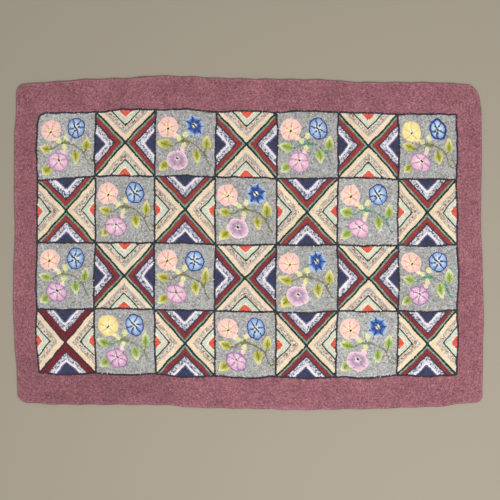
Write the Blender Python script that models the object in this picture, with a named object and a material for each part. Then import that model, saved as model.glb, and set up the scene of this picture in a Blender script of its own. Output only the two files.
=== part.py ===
"""Hooked rug: a flat rug of ground cloth and wool pile, with a whipped edge round it.

Metres, +Z up.  The rug lies flat on z = 0, with its length along X and its width along Y.
The origin is under the middle of its outer box.
"""
import math
from collections import namedtuple

import bpy

# Driving dimensions.
RUG_LENGTH = 1.600          # outer box along X, whipping included
RUG_WIDTH = 1.141           # outer box along Y, to within the draw of a scallop
RUG_HEIGHT = 0.009          # ground cloth and pile together
WHIPPING_WIDTH = 0.0042     # wool sewn over the turned hem, seen from above
WHIPPING_HEIGHT = 0.0066
CLEARANCE = 0.0003          # between the rug and its whipping

RUG_ROUNDING = 0.0022       # the pile's last row leans over
WHIPPING_ROUNDING = 0.0014
ROUNDING_STEPS = 1
POINT_SPACING = 0.021       # along a side of the outline
CORNER_POINTS = 7           # in each rounded corner

# How far each side lies inside the outer box, because the rug isn't quite square:
# one row for each place along the side where its line changes.
Edge = namedtuple("Edge", "along inset")
BACK_EDGE = (Edge(-0.76, 0.028), Edge(-0.64, 0.020), Edge(-0.56, 0.013), Edge(-0.44, 0.010),
             Edge(-0.30, 0.001), Edge(-0.20, 0.004), Edge(-0.10, 0.009), Edge(0.04, 0.012),
             Edge(0.24, 0.014), Edge(0.38, 0.023), Edge(0.62, 0.024), Edge(0.74, 0.029))
FRONT_EDGE = (Edge(-0.76, 0.025), Edge(-0.64, 0.019), Edge(-0.30, 0.018), Edge(-0.16, 0.008),
              Edge(0.00, 0.005), Edge(0.18, 0.001), Edge(0.38, 0.004), Edge(0.62, 0.011),
              Edge(0.77, 0.026))
LEFT_EDGE = (Edge(-0.51, 0.015), Edge(-0.44, 0.013), Edge(-0.34, 0.005), Edge(-0.22, 0.000),
             Edge(-0.10, 0.001), Edge(0.04, 0.006), Edge(0.16, 0.003), Edge(0.36, 0.004),
             Edge(0.44, 0.010), Edge(0.51, 0.011))
RIGHT_EDGE = (Edge(-0.52, 0.005), Edge(-0.36, 0.003), Edge(-0.26, 0.000), Edge(-0.06, 0.005),
              Edge(0.06, 0.010), Edge(0.18, 0.009), Edge(0.28, 0.007), Edge(0.44, 0.008),
              Edge(0.51, 0.017))

# The two long sides are drawn in a little between stitches of the hem, as shallow scallops.
SCALLOP_LENGTH = 0.088
SCALLOP_DEPTH = 0.0024

# Each corner is turned over by hand, so no two are rounded alike.
Corner = namedtuple("Corner", "along_x along_y")
BACK_LEFT = Corner(0.030, 0.032)
BACK_RIGHT = Corner(0.050, 0.066)
FRONT_LEFT = Corner(0.040, 0.034)
FRONT_RIGHT = Corner(0.028, 0.026)

DUSTY_ROSE = (0.30, 0.12, 0.145, 1.0)
ROSE_BROWN = (0.26, 0.11, 0.12, 1.0)


def inset_at(edge, along):
    """Read a side's inset, smoothly, between the rows of its table."""
    if along <= edge[0].along:
        return edge[0].inset
    for before, after in zip(edge, edge[1:]):
        if along <= after.along:
            share = (along - before.along) / (after.along - before.along)
            ease = share * share * (3.0 - 2.0 * share)
            return before.inset + ease * (after.inset - before.inset)
    return edge[-1].inset


def scallop(along):
    """The draw of the hem at a place along a long side, never outside the outer box."""
    wander = 0.7 * math.sin(along * 5.3)
    wave = math.sin(2.0 * math.pi * along / SCALLOP_LENGTH + wander)
    return SCALLOP_DEPTH * 0.5 * (1.0 + wave)


def back_y(x):
    return RUG_WIDTH / 2 - inset_at(BACK_EDGE, x) - scallop(x)


def front_y(x):
    return inset_at(FRONT_EDGE, x) + scallop(x + 0.03) - RUG_WIDTH / 2


def left_x(y):
    return inset_at(LEFT_EDGE, y) - RUG_LENGTH / 2


def right_x(y):
    return RUG_LENGTH / 2 - inset_at(RIGHT_EDGE, y)


def between(start, end):
    """Places along a side, evenly spaced, both ends included."""
    count = max(2, round(abs(end - start) / POINT_SPACING))
    return [start + (end - start) * step / count for step in range(count + 1)]


def corner_arc(centre, corner, first_angle):
    """The points inside a quarter turn, anticlockwise; its two ends belong to the sides."""
    points = []
    for step in range(1, CORNER_POINTS):
        angle = first_angle + 0.5 * math.pi * step / CORNER_POINTS
        points.append((centre[0] + corner.along_x * math.cos(angle),
                       centre[1] + corner.along_y * math.sin(angle)))
    return points


def corner_centre(side_x, side_y, sign_x, sign_y, corner):
    """The middle of a corner's arc, from the lines of the two sides that meet there."""
    x = sign_x * (RUG_LENGTH / 2 - corner.along_x)
    y = sign_y * (RUG_WIDTH / 2 - corner.along_y)
    for _ in range(4):
        x, y = side_x(y) - sign_x * corner.along_x, side_y(x) - sign_y * corner.along_y
    return x, y


def centred(points):
    """The same line, with its box's middle on the origin."""
    xs = [x for x, _ in points]
    ys = [y for _, y in points]
    middle_x = (min(xs) + max(xs)) / 2
    middle_y = (min(ys) + max(ys)) / 2
    return [(x - middle_x, y - middle_y) for x, y in points]


def rug_outline():
    """The rug's outer line, anticlockwise from the front left corner."""
    front_left = corner_centre(left_x, front_y, -1, -1, FRONT_LEFT)
    front_right = corner_centre(right_x, front_y, 1, -1, FRONT_RIGHT)
    back_right = corner_centre(right_x, back_y, 1, 1, BACK_RIGHT)
    back_left = corner_centre(left_x, back_y, -1, 1, BACK_LEFT)

    points = [(x, front_y(x)) for x in between(front_left[0], front_right[0])]
    points += corner_arc(front_right, FRONT_RIGHT, -0.5 * math.pi)
    points += [(right_x(y), y) for y in between(front_right[1], back_right[1])]
    points += corner_arc(back_right, BACK_RIGHT, 0.0)
    points += [(x, back_y(x)) for x in between(back_right[0], back_left[0])]
    points += corner_arc(back_left, BACK_LEFT, 0.5 * math.pi)
    points += [(left_x(y), y) for y in between(back_left[1], front_left[1])]
    points += corner_arc(front_left, FRONT_LEFT, math.pi)
    return centred(points)


def moved_in(points, distance):
    """The same line, that far inside itself, for points that run anticlockwise."""
    moved = []
    for index, (x, y) in enumerate(points):
        before = points[index - 1]
        after = points[(index + 1) % len(points)]
        run_x, run_y = after[0] - before[0], after[1] - before[1]
        length = math.hypot(run_x, run_y)
        moved.append((x - run_y / length * distance, y + run_x / length * distance))
    return moved


def wool(name, colour):
    """A matt wool material."""
    material = bpy.data.materials.new(name)
    material.use_nodes = True
    shader = material.node_tree.nodes["Principled BSDF"]
    shader.inputs["Base Color"].default_value = colour
    shader.inputs["Roughness"].default_value = 0.95
    shader.inputs["Metallic"].default_value = 0.0
    return material


def flat_piece(name, outlines, height, rounding, material):
    """A flat solid inside the outlines, with rounded edges, standing on z = 0.

    The rounding of a filled curve swells past its line, so each outline is given that
    much inside the piece.
    """
    curve = bpy.data.curves.new(name, "CURVE")
    curve.dimensions = "2D"
    curve.fill_mode = "BOTH"
    curve.extrude = height / 2 - rounding
    curve.bevel_depth = rounding
    curve.bevel_resolution = ROUNDING_STEPS
    for points in outlines:
        spline = curve.splines.new("POLY")
        spline.points.add(len(points) - 1)
        spline.use_cyclic_u = True
        for point, (x, y) in zip(spline.points, points):
            point.co = (x, y, 0.0, 1.0)
    curve.materials.append(material)
    piece = bpy.data.objects.new(name, curve)
    piece.location.z = height / 2
    weld = piece.modifiers.new("Join the caps", "WELD")
    weld.merge_threshold = 0.00001
    return piece


def make_rug():
    """The ground cloth with its hooked pile, up to the whipping."""
    edge = moved_in(rug_outline(), WHIPPING_WIDTH + CLEARANCE + RUG_ROUNDING)
    return flat_piece("hooked_rug", [edge], RUG_HEIGHT, RUG_ROUNDING,
                      wool("dusty_rose_wool", DUSTY_ROSE))


def make_whipping():
    """The rose-brown wool sewn over and over round the turned hem."""
    outer = moved_in(rug_outline(), WHIPPING_ROUNDING)
    inner = moved_in(rug_outline(), WHIPPING_WIDTH - WHIPPING_ROUNDING)
    inner.reverse()
    return flat_piece("edge_whipping", [outer, inner], WHIPPING_HEIGHT, WHIPPING_ROUNDING,
                      wool("rose_brown_wool", ROSE_BROWN))


for old in list(bpy.data.objects):
    bpy.data.objects.remove(old, do_unlink=True)

collection = bpy.data.collections.new("hooked_rug")
bpy.context.scene.collection.children.link(collection)
for made in (make_rug(), make_whipping()):
    collection.objects.link(made)
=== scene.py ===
import math
from collections import namedtuple

import bmesh
import bpy
import numpy as np
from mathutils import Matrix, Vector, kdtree


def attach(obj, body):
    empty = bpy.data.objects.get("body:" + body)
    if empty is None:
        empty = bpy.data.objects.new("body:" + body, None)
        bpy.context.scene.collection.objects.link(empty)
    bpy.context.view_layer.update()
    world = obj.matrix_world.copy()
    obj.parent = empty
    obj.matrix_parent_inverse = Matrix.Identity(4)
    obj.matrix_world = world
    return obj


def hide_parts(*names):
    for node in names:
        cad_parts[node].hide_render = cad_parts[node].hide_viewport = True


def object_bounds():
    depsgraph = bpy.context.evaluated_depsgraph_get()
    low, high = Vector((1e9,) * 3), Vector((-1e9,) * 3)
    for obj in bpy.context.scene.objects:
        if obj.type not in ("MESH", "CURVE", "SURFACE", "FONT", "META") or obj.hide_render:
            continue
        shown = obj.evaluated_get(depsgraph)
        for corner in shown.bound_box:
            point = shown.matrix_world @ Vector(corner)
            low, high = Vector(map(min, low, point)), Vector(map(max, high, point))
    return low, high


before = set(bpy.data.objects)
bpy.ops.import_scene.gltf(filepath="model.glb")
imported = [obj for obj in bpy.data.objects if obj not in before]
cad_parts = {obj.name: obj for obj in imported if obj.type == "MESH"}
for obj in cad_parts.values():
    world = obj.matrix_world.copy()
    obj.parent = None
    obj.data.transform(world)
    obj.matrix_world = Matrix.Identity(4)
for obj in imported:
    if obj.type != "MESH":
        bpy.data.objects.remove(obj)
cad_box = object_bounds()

# The camera looks straight down on the rug as it lies on the floor, from high enough to
# show all four edges with a little floor round them.
VIEW_WIDTH = 1.695
CAMERA_HEIGHT = 3.6
SENSOR_MM = 36.0
view = bpy.data.cameras.new("camera")
view.sensor_width = SENSOR_MM
view.lens = SENSOR_MM * (CAMERA_HEIGHT - cad_box[1].z) / VIEW_WIDTH
camera = bpy.data.objects.new("camera", view)
camera.location = (0.005, -0.024, CAMERA_HEIGHT)
bpy.context.scene.collection.objects.link(camera)
bpy.context.scene.camera = camera


# ---------------------------------------------------------------------------------------
# Ground cloth.  The rug is worked on one piece of coarse burlap, cut to the rug's uneven
# outline with its hem turned under.  It carries every loop, and lies on the floor almost
# flat, with the slight rise and fall of a rug that has been walked on.
CLOTH_THICKNESS = 0.0012
CLOTH_LIFT = 0.0002             # the least air under it
CLOTH_COLUMNS, CLOTH_ROWS = 56, 40
SOFT_RISE = 0.0005              # how far the lying rug rises and falls
SOFT_WAVE = 0.31                # from one rise to the next
SOFT_SHARE, SOFT_MOST = 0.6, 1.6        # of a swell, so that it never dips into the floor
WAVES, WAVES_SIZE = 7, 2.6      # the waves that make up a swell, and how high they add up
SAME_HEIGHT = 0.0001


def polar(points):
    """The direction and the distance of each point from the origin."""
    return np.arctan2(points[:, 1], points[:, 0]), np.hypot(points[:, 0], points[:, 1])


def ring_of(node):
    """The outline of a flat node, in order round it: the ring that reaches furthest."""
    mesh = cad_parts[node].data
    points = np.empty(len(mesh.vertices) * 3)
    mesh.vertices.foreach_get("co", points)
    points = points.reshape(-1, 3)
    wall_height = points[points[:, 0].argmin(), 2]
    wall = points[np.abs(points[:, 2] - wall_height) < SAME_HEIGHT, :2]
    _, first = np.unique(polar(wall)[0].round(5), return_index=True)
    return wall[first]


rug_edge = ring_of("hooked_rug")
edge_turn, edge_reach = polar(rug_edge)


def ripple(x, y, length, seed):
    """A soft, uneven swell over the rug, about -1 to 1, its crests about a length apart."""
    waves = np.random.default_rng(seed)
    total = np.zeros(np.shape(x))
    for _ in range(WAVES):
        turn, phase = waves.uniform(0.0, 2.0 * math.pi, 2)
        pull = 2.0 * math.pi / (length * waves.uniform(0.7, 1.5))
        total += np.sin(pull * (x * math.cos(turn) + y * math.sin(turn)) + phase)
    return total / WAVES_SIZE


def rise(x, y):
    """How far the rug stands off the floor at a place, in metres."""
    swell = ripple(x, y, SOFT_WAVE, 5).clip(-SOFT_MOST, SOFT_MOST)
    return CLOTH_LIFT + SOFT_RISE * (1.0 + SOFT_SHARE * swell)


def deselect():
    for chosen in list(bpy.context.selected_objects):
        chosen.select_set(False)


def apply_modifiers(piece):
    deselect()
    piece.select_set(True)
    bpy.context.view_layer.objects.active = piece
    for modifier in list(piece.modifiers):
        bpy.ops.object.modifier_apply(modifier=modifier.name)


def coordinates(mesh):
    points = np.empty(len(mesh.vertices) * 3)
    mesh.vertices.foreach_get("co", points)
    return points.reshape(-1, 3)


deselect()
bpy.ops.mesh.primitive_grid_add(
    x_subdivisions=CLOTH_COLUMNS, y_subdivisions=CLOTH_ROWS, size=2.0)
ground_cloth = bpy.context.object
ground_cloth.name = "ground_cloth"
square = coordinates(ground_cloth.data)
turn = np.arctan2(square[:, 1] * cad_box[1].y, square[:, 0] * cad_box[1].x)
out = np.abs(square[:, :2]).max(axis=1)
reach = out * np.interp(turn, edge_turn, edge_reach, period=2.0 * math.pi)
cut = np.stack([reach * np.cos(turn), reach * np.sin(turn)], axis=1)
cut = np.column_stack([cut, rise(cut[:, 0], cut[:, 1])])
ground_cloth.data.vertices.foreach_set("co", cut.ravel())
thicken = ground_cloth.modifiers.new("Cloth", "SOLIDIFY")
thicken.thickness = CLOTH_THICKNESS
thicken.offset = 1.0
apply_modifiers(ground_cloth)
ground_cloth.data.shade_smooth()


def dye(red, green, blue):
    """A dye from its red, green and blue as seen, 0 to 255, as light adds up."""
    seen = np.array([red, green, blue]) / 255.0
    return np.where(seen < 0.04045, seen / 12.92, ((seen + 0.055) / 1.055) ** 2.4)


THREAD_SCALE = 115.0            # about five threads to the centimetre
# The hollows between the threads are painted dark brown as shade; the threads have the jute's
# own tan.
JUTE_HOLLOW_SHADE, JUTE_THREAD = dye(70, 54, 40), dye(150, 124, 92)


def set_inputs(node, **values):
    """Sets a node's inputs by their names, with _ for each space."""
    for name, value in values.items():
        node.inputs[name.replace("_", " ")].default_value = value


def new_node(tree, kind, **values):
    node = tree.nodes.new("ShaderNode" + kind)
    set_inputs(node, **values)
    return node


def multiplied(tree, first, second):
    node = new_node(tree, "Math")
    node.operation = "MULTIPLY"
    tree.links.new(first, node.inputs[0])
    tree.links.new(second, node.inputs[1])
    return node.outputs["Value"]


def new_material(name, **values):
    """A material with its node tree, and its shader with the values given."""
    material = bpy.data.materials.new(name)
    material.use_nodes = True
    shader = material.node_tree.nodes["Principled BSDF"]
    set_inputs(shader, **values)
    return material, material.node_tree, shader


def add_bump(tree, height, shader, strength, distance):
    bump = new_node(tree, "Bump", Strength=strength, Distance=distance)
    tree.links.new(height, bump.inputs["Height"])
    tree.links.new(bump.outputs["Normal"], shader.inputs["Normal"])


def burlap_material():
    """Coarse jute: two crossing sets of threads, with painted shade that darkens the hollows
    between them.
    """
    material, tree, shader = new_material("burlap", Roughness=0.95, Specular_IOR_Level=0.15)
    place = new_node(tree, "TexCoord")
    threads = []
    for axis in "XY":
        wave = new_node(tree, "TexWave", Scale=THREAD_SCALE, Distortion=1.2, Detail=2.0)
        wave.bands_direction = axis
        tree.links.new(place.outputs["Object"], wave.inputs["Vector"])
        threads.append(wave.outputs["Fac"])
    over = multiplied(tree, *threads)
    jute = new_node(tree, "ValToRGB")
    jute.color_ramp.elements[0].color = (*JUTE_HOLLOW_SHADE, 1.0)
    jute.color_ramp.elements[1].color = (*JUTE_THREAD, 1.0)
    tree.links.new(over, jute.inputs["Fac"])
    tree.links.new(jute.outputs["Color"], shader.inputs["Base Color"])
    add_bump(tree, over, shader, strength=0.6, distance=0.0004)
    return material


ground_cloth.data.materials.append(burlap_material())
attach(ground_cloth, "root")
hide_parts("hooked_rug")


# ---------------------------------------------------------------------------------------
# One loop of wool.  A hook draws the yarn up through the cloth in a small arch.  The loops
# crowd each other so that only their rounded crowns show, and the crown is what is made.
# Every loop of the pile is a copy of it, each with its own size, turn, lean and dye.
LOOP_LENGTH = 1.37              # times the spacing along the row, so that loops crowd
LOOP_WIDTH = 1.41               # times the spacing between rows
LOOP_HEIGHT = 0.0066
LOOP_CROWN = 0.0026             # the rounded top of a loop, down to where it meets the next
LOOP_INSET = 0.26               # from a crown's foot in to its top, as a share of its width
LOOP_UNEVEN = 0.00028           # from one loop to the next
LOOP_UNEVEN_MOST = 0.0007
PILE_SWELL, SWELL_WAVE = 0.0003, 0.06       # where the hook was pulled higher, and how often
LOOP_TURN = 0.24                # radians, how far a loop turns from its row
LOOP_LEAN = 0.00042
LOOP_STRAY = 0.00030            # how far a loop stands off its row
BARE = 2.85                     # mm from the nearest loop, where the cloth would show
GAP_STEP = 1.2                  # mm between the places that are searched for bare cloth
BAKE_SHRINK = 0.50              # a loop's share of its place in the baked picture
BAKE_MARGIN = 0.012             # round each tile of the baked picture
MM = 0.001


def choose_vertices(piece, wanted):
    """Selects, in edit mode, the vertices whose place passes the test."""
    shape = bmesh.from_edit_mesh(piece.data)
    for vertex in shape.verts:
        vertex.select = wanted(vertex.co)
    shape.select_flush_mode()
    bmesh.update_edit_mesh(piece.data)


deselect()
bpy.ops.mesh.primitive_plane_add(size=1.0)
one_loop = bpy.context.object
bpy.ops.object.mode_set(mode="EDIT")
bpy.ops.mesh.select_mode(type="VERT")
bpy.ops.mesh.select_all(action="SELECT")
bpy.ops.mesh.inset(thickness=LOOP_INSET)
bpy.ops.transform.translate(value=(0.0, 0.0, 1.0))
choose_vertices(one_loop, lambda place: place.z > 0.5 and place.y < 0.0)
bpy.ops.mesh.merge(type="CENTER")
bpy.ops.object.mode_set(mode="OBJECT")
loop_points = coordinates(one_loop.data)
loop_faces = [list(face.vertices) for face in one_loop.data.polygons]
bpy.data.objects.remove(one_loop)


# A wool is one or more dyes.  Along a row it drifts from one to the next.  Fleck is the
# share of its loops that are a colour of their own, as in a tweed, and tone is how much
# lighter or darker one loop may be than the next.
Wool = namedtuple("Wool", "dyes drift fleck tone")


def wool(*dyes, drift=0.06, fleck=0.25, tone=0.10):
    return Wool(np.array([dye(*each) for each in dyes]), drift, fleck, tone)


TONE_MOST = 2.2                 # times a wool's tone, the most that a loop may be off
chance = np.random.default_rng(2024)


def dyed(yarn, place):
    """The dye of each loop, from its place, 0 to 1, along the dyes of its wool."""
    count = len(place)
    place = place * (len(yarn.dyes) - 1)
    odd = chance.random(count) < yarn.fleck
    place = np.where(odd, chance.integers(0, len(yarn.dyes), count), place)
    steps = np.arange(len(yarn.dyes))
    dyes = np.stack([np.interp(place, steps, yarn.dyes[:, part]) for part in range(3)], 1)
    shade = chance.normal(0.0, 1.0, (count, 1)).clip(-TONE_MOST, TONE_MOST)
    return dyes * (1.0 + yarn.tone * shade)


def spin(yarn, count):
    """The dye of each loop in a row of this wool, which drifts along it."""
    wander = np.cumsum(chance.normal(0.0, yarn.drift, count)) + chance.uniform(0.0, 2.0)
    return dyed(yarn, 0.5 - 0.5 * np.cos(math.pi * wander))


# How a row is hooked: mm from loop to loop and from row to row, and a loop's least room.
Hooking = namedtuple("Hooking", "spacing width room", defaults=(0.0,))


def measured(path, closed=False):
    """The length of a path, and a way to find the places that far along it."""
    path = np.asarray(path, float)
    if closed:
        path = np.vstack([path, path[:1]])
    run = np.concatenate([[0.0], np.cumsum(np.hypot(*np.diff(path, axis=0).T))])

    def at(distance):
        return np.stack([np.interp(distance, run, path[:, axis]) for axis in (0, 1)], 1)

    return run[-1], at


def row_along(path, spacing, width, closed=False):
    """A row of loops along a path: the place, heading, spacing and width of each, in mm."""
    length, at = measured(path, closed)
    count = max(1, round(length / spacing))
    step = length / count
    along = (np.arange(count) + 0.5) * step
    heading = polar(at(along + 0.4 * step) - at(along - 0.4 * step))[0]
    return np.column_stack([at(along), heading, np.full(count, step), np.full(count, width)])


def beside(path, distance, closed=False):
    """The same path, that far to its left."""
    path = np.asarray(path, float)
    if closed:
        ahead = np.roll(path, -1, axis=0) - np.roll(path, 1, axis=0)
    else:
        ahead = np.gradient(path, axis=0)
    ahead = ahead / polar(ahead)[1][:, None]
    return path + distance * np.stack([-ahead[:, 1], ahead[:, 0]], axis=1)


class Pile:
    """The loops hooked into one stretch of cloth, in mm, kept from crowding each other."""

    SQUARE = 4.0

    def __init__(self):
        self.rows = []
        self.squares = {}

    def crowded(self, x, y, room):
        column, line = int(x // self.SQUARE), int(y // self.SQUARE)
        for beside_column in (column - 1, column, column + 1):
            for beside_line in (line - 1, line, line + 1):
                for other_x, other_y in self.squares.get((beside_column, beside_line), ()):
                    if (x - other_x) ** 2 + (y - other_y) ** 2 < room * room:
                        return True
        return False

    def hook(self, row, dyes, room=0.0):
        """Adds a row, but leaves out the loops that have no room."""
        kept = []
        for index, (x, y) in enumerate(row[:, :2].tolist()):
            if room and self.crowded(x, y, room):
                continue
            square = (int(x // self.SQUARE), int(y // self.SQUARE))
            self.squares.setdefault(square, []).append((x, y))
            kept.append(index)
        self.rows.append(np.column_stack([row, dyes])[kept])

    def hook_along(self, path, yarn, hooking, closed=False):
        """Adds a row of one wool along a path."""
        row = row_along(path, hooking.spacing, hooking.width, closed)
        self.hook(row, spin(yarn, len(row)), hooking.room)

    def loops(self):
        return np.vstack(self.rows)


def tree_of(places):
    """A search tree of places, to find the nearest."""
    tree = kdtree.KDTree(len(places))
    for index, (x, y) in enumerate(places[:, :2].tolist()):
        tree.insert((x, y, 0.0), index)
    tree.balance()
    return tree


def grid_between(low, high, step):
    """Evenly spaced places between two corners."""
    x, y = np.meshgrid(np.arange(low[0], high[0], step), np.arange(low[1], high[1], step))
    return x.ravel(), y.ravel()


def filled_in(loops, neighbours, inside):
    """The loops, with one more of the nearest wool wherever the cloth would show."""
    near, own = tree_of(np.vstack([loops, neighbours])), tree_of(loops)
    low, high = loops[:, :2].min(axis=0), loops[:, :2].max(axis=0)
    x, y = grid_between(low, high, GAP_STEP)
    open_cloth = inside(x, y)
    added = Pile()
    for place in zip(x[open_cloth].tolist(), y[open_cloth].tolist()):
        if near.find((*place, 0.0))[2] > BARE:
            loop = loops[own.find((*place, 0.0))[1]].copy()
            loop[:2] = place
            added.hook(loop[None, :5], loop[None, 5:], room=BARE)
    return np.vstack([loops, added.loops()]) if added.rows else loops


def ranged(tree, source, low, high, to_low=0.0, to_high=1.0):
    """A value between low and high, brought to between to_low and to_high."""
    node = new_node(tree, "MapRange", From_Min=low, From_Max=high, To_Min=to_low,
                    To_Max=to_high)
    tree.links.new(source, node.inputs["Value"])
    return node.outputs["Result"]


def from_noise(tree, noise, low, high):
    """A noise, which mostly lies between 0.3 and 0.7, brought to between low and high."""
    return ranged(tree, noise.outputs["Fac"], 0.3, 0.7, low, high)


def fibre_group():
    """Wool fibre: a dye broken up by fibres and flecks, with painted shade that darkens it down
    among the loops.
    """
    group = bpy.data.node_groups.new("wool fibre", "ShaderNodeTree")
    for name, kind, value in (("Dye", "Color", (0.5, 0.5, 0.5, 1.0)), ("Painted Shade Height", "Float", 0.5),
                              ("Fibre Scale", "Float", 900.0), ("Fleck", "Float", 0.3)):
        socket = group.interface.new_socket(name=name, in_out="INPUT",
                                            socket_type="NodeSocket" + kind)
        socket.default_value = value
    for name, kind in (("Color", "Color"), ("Height", "Float"), ("Roughness", "Float")):
        group.interface.new_socket(name=name, in_out="OUTPUT", socket_type="NodeSocket" + kind)
    link = group.links.new
    given, taken = group.nodes.new("NodeGroupInput"), group.nodes.new("NodeGroupOutput")
    place = new_node(group, "TexCoord")
    fibre = new_node(group, "TexNoise", Detail=3.0, Roughness=0.65)
    link(place.outputs["Object"], fibre.inputs["Vector"])
    link(given.outputs["Fibre Scale"], fibre.inputs["Scale"])
    lot = new_node(group, "TexNoise", Scale=26.0, Detail=2.0)
    link(place.outputs["Object"], lot.inputs["Vector"])
    fleck = new_node(group, "Mix", A=1.0)
    link(given.outputs["Fleck"], fleck.inputs["Factor"])
    link(from_noise(group, fibre, 0.45, 1.5), fleck.inputs["B"])
    # Painted shade: the dye darkens to 0.62 of itself at the foot of the shaded height, as shade
    # down among the loops.
    depth = ranged(group, given.outputs["Painted Shade Height"], 0.0, 1.0, 0.62, 1.0)
    age = from_noise(group, lot, 0.95, 1.05)
    strength = multiplied(group, multiplied(group, fleck.outputs["Result"], depth), age)
    tint = new_node(group, "VectorMath")
    tint.operation = "SCALE"
    link(given.outputs["Dye"], tint.inputs["Vector"])
    link(strength, tint.inputs["Scale"])
    link(tint.outputs["Vector"], taken.inputs["Color"])
    link(fibre.outputs["Fac"], taken.inputs["Height"])
    link(from_noise(group, fibre, 1.0, 0.82), taken.inputs["Roughness"])
    return group


wool_fibre = fibre_group()


def wool_material(name, low, high):
    """Matt wool: its dye is the piece's own attribute, with painted shade that darkens it
    towards the cloth between the heights low and high.
    """
    material, tree, shader = new_material(name, Specular_IOR_Level=0.18, Sheen_Weight=0.22,
                                          Sheen_Roughness=0.55)
    link = tree.links.new
    loop_dye = new_node(tree, "Attribute")
    loop_dye.attribute_name = "dye"
    fibre = new_node(tree, "Group")
    fibre.node_tree = wool_fibre
    set_inputs(fibre, Fleck=0.35)
    place, parts = new_node(tree, "TexCoord"), new_node(tree, "SeparateXYZ")
    link(place.outputs["Object"], parts.inputs["Vector"])
    link(ranged(tree, parts.outputs["Z"], low, high), fibre.inputs["Painted Shade Height"])
    link(loop_dye.outputs["Color"], fibre.inputs["Dye"])
    link(fibre.outputs["Color"], shader.inputs["Base Color"])
    link(fibre.outputs["Roughness"], shader.inputs["Roughness"])
    add_bump(tree, fibre.outputs["Height"], shader, strength=0.55, distance=0.0005)
    return material


pile_foot = CLOTH_LIFT + CLOTH_THICKNESS
# Painted shade: each loop darkens from near its top down to where its crown meets the next, as
# shade among the loops.
hooked_wool = wool_material("hooked wool", pile_foot + LOOP_HEIGHT - LOOP_CROWN,
                            pile_foot + 0.95 * LOOP_HEIGHT)


def joined_copies(name, points, faces, dyes, flat, material):
    """One mesh of many copies of one shape: their points, dyes and places in the picture."""
    count, each = points.shape[:2]
    corners = np.concatenate(faces)
    sizes = np.array([len(face) for face in faces])
    starts = np.concatenate([[0], np.cumsum(sizes)[:-1]])
    step = np.arange(count)[:, None]
    mesh = bpy.data.meshes.new(name)
    mesh.vertices.add(count * each)
    mesh.vertices.foreach_set("co", points.ravel())
    mesh.loops.add(count * len(corners))
    mesh.loops.foreach_set("vertex_index", (corners + each * step).ravel())
    mesh.polygons.add(count * len(sizes))
    mesh.polygons.foreach_set("loop_start", (starts + len(corners) * step).ravel())
    mesh.update(calc_edges=True)
    mesh.shade_smooth()
    painted = np.ones((count, each, 4))
    painted[:, :, :3] = dyes.clip(0.001, 0.95)[:, None, :]
    colour = mesh.attributes.new("dye", "FLOAT_COLOR", "POINT")
    colour.data.foreach_set("color", painted.ravel())
    layer = mesh.uv_layers.new(name="OFBake")
    layer.uv.foreach_set("vector", flat.ravel())
    mesh.materials.append(material)
    piece = bpy.data.objects.new(name, mesh)
    bpy.context.scene.collection.objects.link(piece)
    return piece


def bake_tiles(x, y, tile, grid):
    """Where each loop lies in its piece's baked picture, and the scale there, per metre.

    The tiles of a long piece are laid out in a grid, so that they fill the square.
    """
    middle, scale = np.empty((len(x), 2)), np.empty((len(x), 2))
    for number in np.unique(tile):
        here = tile == number
        for axis, values, count, slot in ((0, x[here], grid[0], number % grid[0]),
                                          (1, y[here], grid[1], number // grid[0])):
            low, high = values.min(), values.max()
            share = (1.0 - 2.0 * BAKE_MARGIN) / (high - low) / count
            middle[here, axis] = (slot + BAKE_MARGIN) / count + (values - low) * share
            scale[here, axis] = share
    return middle, scale


def bake_rows(count, size):
    """Places in the baked picture for pieces of one size, in metres, in rows as they come."""
    side = math.ceil(math.sqrt(count))
    number = np.arange(count)
    middle = np.stack([number % side + 0.5, number // side + 0.5], axis=1) / side
    return middle, np.full((count, 2), 1.0 / (side * size))


def turned(along, across, heading):
    """Points that lie along and across their rows, turned to the headings of the rows."""
    cos, sin = np.cos(heading)[:, None], np.sin(heading)[:, None]
    return np.stack([along * cos - across * sin, along * sin + across * cos], axis=2)


def hooked_piece(name, loops, tile=None, grid=None):
    """One mesh of every loop given: place and sizes in metres, heading, dye."""
    count = len(loops)
    x, y, heading, length, width = loops[:, :5].T
    x = x + chance.normal(0.0, LOOP_STRAY, count)
    y = y + chance.normal(0.0, LOOP_STRAY, count)
    heading = heading + chance.normal(0.0, LOOP_TURN, count)
    uneven = chance.normal(0.0, LOOP_UNEVEN, count).clip(-LOOP_UNEVEN_MOST, LOOP_UNEVEN_MOST)
    height = LOOP_HEIGHT + uneven + PILE_SWELL * ripple(x, y, SWELL_WAVE, 11)
    top = (loop_points[:, 2] > 0.5).astype(float)
    along = loop_points[None, :, 0] * (length * LOOP_LENGTH)[:, None]
    across = loop_points[None, :, 1] * (width * LOOP_WIDTH)[:, None]
    along = along + top * chance.normal(0.0, LOOP_LEAN, count)[:, None]
    across = across + top * chance.normal(0.0, LOOP_LEAN, count)[:, None]
    local = turned(along, across, heading)
    crown_foot = rise(x, y) + CLOTH_THICKNESS + height - LOOP_CROWN
    points = np.dstack([np.stack([x, y], axis=1)[:, None] + local,
                        crown_foot[:, None] + top * LOOP_CROWN])
    if grid is None:
        middle, scale = bake_rows(count, length.max())
    else:
        middle, scale = bake_tiles(x, y, tile, grid)
    flat = middle[:, None, :] + local * scale[:, None, :] * BAKE_SHRINK
    corners = np.concatenate(loop_faces)
    piece = joined_copies(name, points, loop_faces, loops[:, 5:8], flat[:, corners], hooked_wool)
    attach(piece, "root")


# ---------------------------------------------------------------------------------------
# Block lines.  Two rows of dark wool mark out the seven by four blocks.  They are hooked
# first, by eye, along pencil lines that have pulled out of true, and the ends of several
# dark wools are used up in them: navy, plum and bottle green.
ROW_PITCH = 3.7                 # mm between rows
LOOP_PITCH = 4.55               # mm between loops along a row
COLUMNS, LINES = 7, 4
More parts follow.
